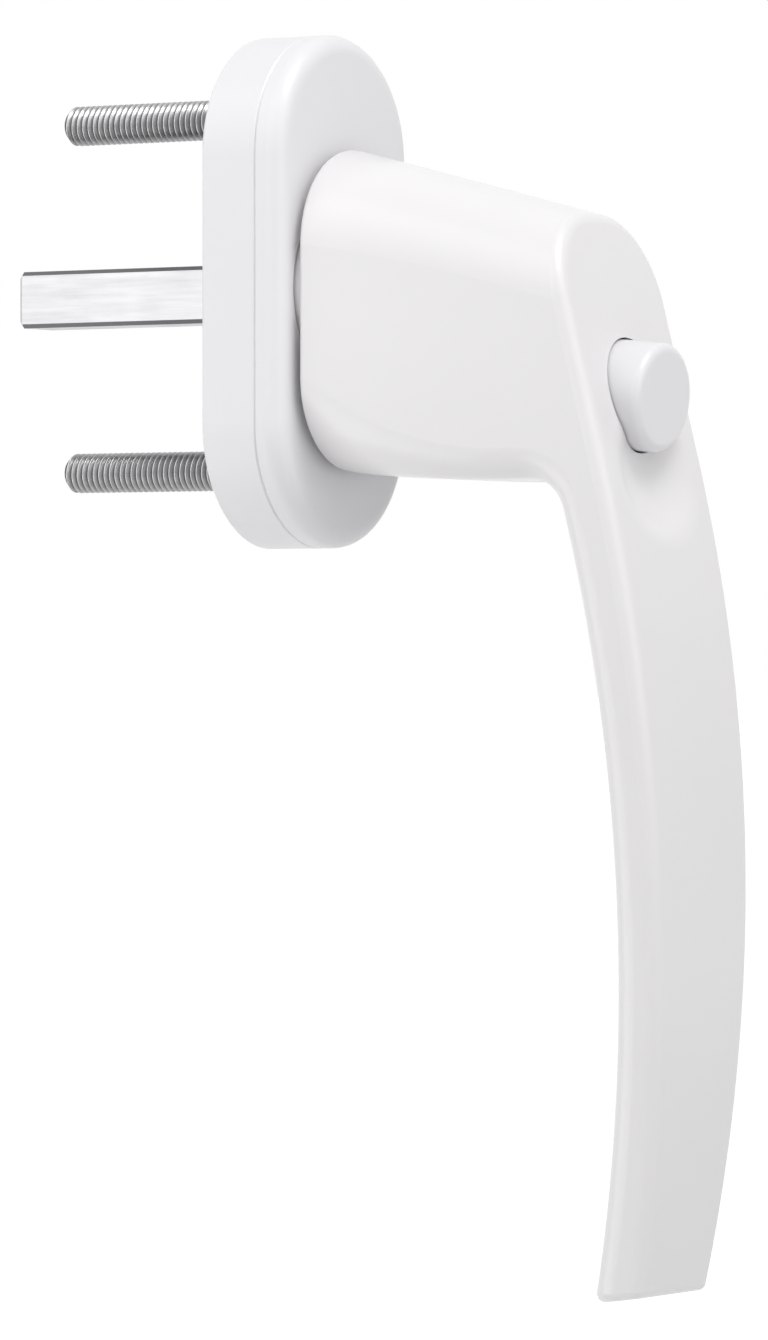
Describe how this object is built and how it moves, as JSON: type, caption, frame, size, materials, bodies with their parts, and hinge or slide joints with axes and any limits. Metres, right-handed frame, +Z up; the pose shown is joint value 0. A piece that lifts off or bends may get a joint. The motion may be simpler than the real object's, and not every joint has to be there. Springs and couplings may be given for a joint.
{
  "type": "window handle",
  "caption": "White lever handle for a tilt-and-turn window, with an oblong rosette, a push button on the lever, a square spindle and fixing screws.",
  "frame": {"origin": "on the spindle axis, in the rosette's face that lies on the sash, halfway between the fixing screws", "axes": "+Y into the sash along the spindle, +Z up, the lever hangs towards -Z, and -Y is the room side"},
  "size_m": [0.0296, 0.096, 0.1514],
  "materials": {
    "white_coat": "smooth white powder coat over die-cast aluminium, glossy",
    "white_moulding": "white moulded plastic, semi-gloss",
    "white_button": "white moulded plastic, glossy",
    "zinc_steel": "bright zinc plate",
    "bright_steel": "drawn bar, bright zinc plate",
    "spring_steel": "oiled spring steel",
    "bearing_plastic": "natural acetal"
  },
  "bodies": {
    "rosette": {"rosette_base": "white_moulding", "index_plate": "zinc_steel", "fixing_screws": "zinc_steel", "bearing_bush": "bearing_plastic", "detent_springs": "spring_steel"},
    "cap": {"rosette_cap": "white_moulding"},
    "lever": {"lever": "white_coat", "spindle": "bright_steel", "spindle_pin": "spring_steel", "pin_guide": "bearing_plastic", "detent_cam": "zinc_steel", "retaining_ring": "spring_steel", "button_spring": "spring_steel"},
    "button": {"push_button": "white_button", "locking_pin": "bright_steel"}
  },
  "joints": [
    {"name": "handle_turn", "type": "hinge", "parent": "rosette", "child": "lever", "pos_m": [0, 0, 0], "axis": [0, -1, 0], "range_deg": [-180, 180], "deforming": ["detent_springs"]},
    {"name": "button_press", "type": "slide", "parent": "lever", "child": "button", "axis": [0, 0.9954, 0.0958], "range_m": [0, 0.0036], "stiffness_N_per_m": 700, "springref_m": -0.004, "deforming": ["button_spring"]},
    {"name": "cap_turn", "type": "hinge", "parent": "rosette", "child": "cap", "pos_m": [0, 0, 0], "axis": [0, -1, 0], "range_deg": [0, 90]}
  ]
}
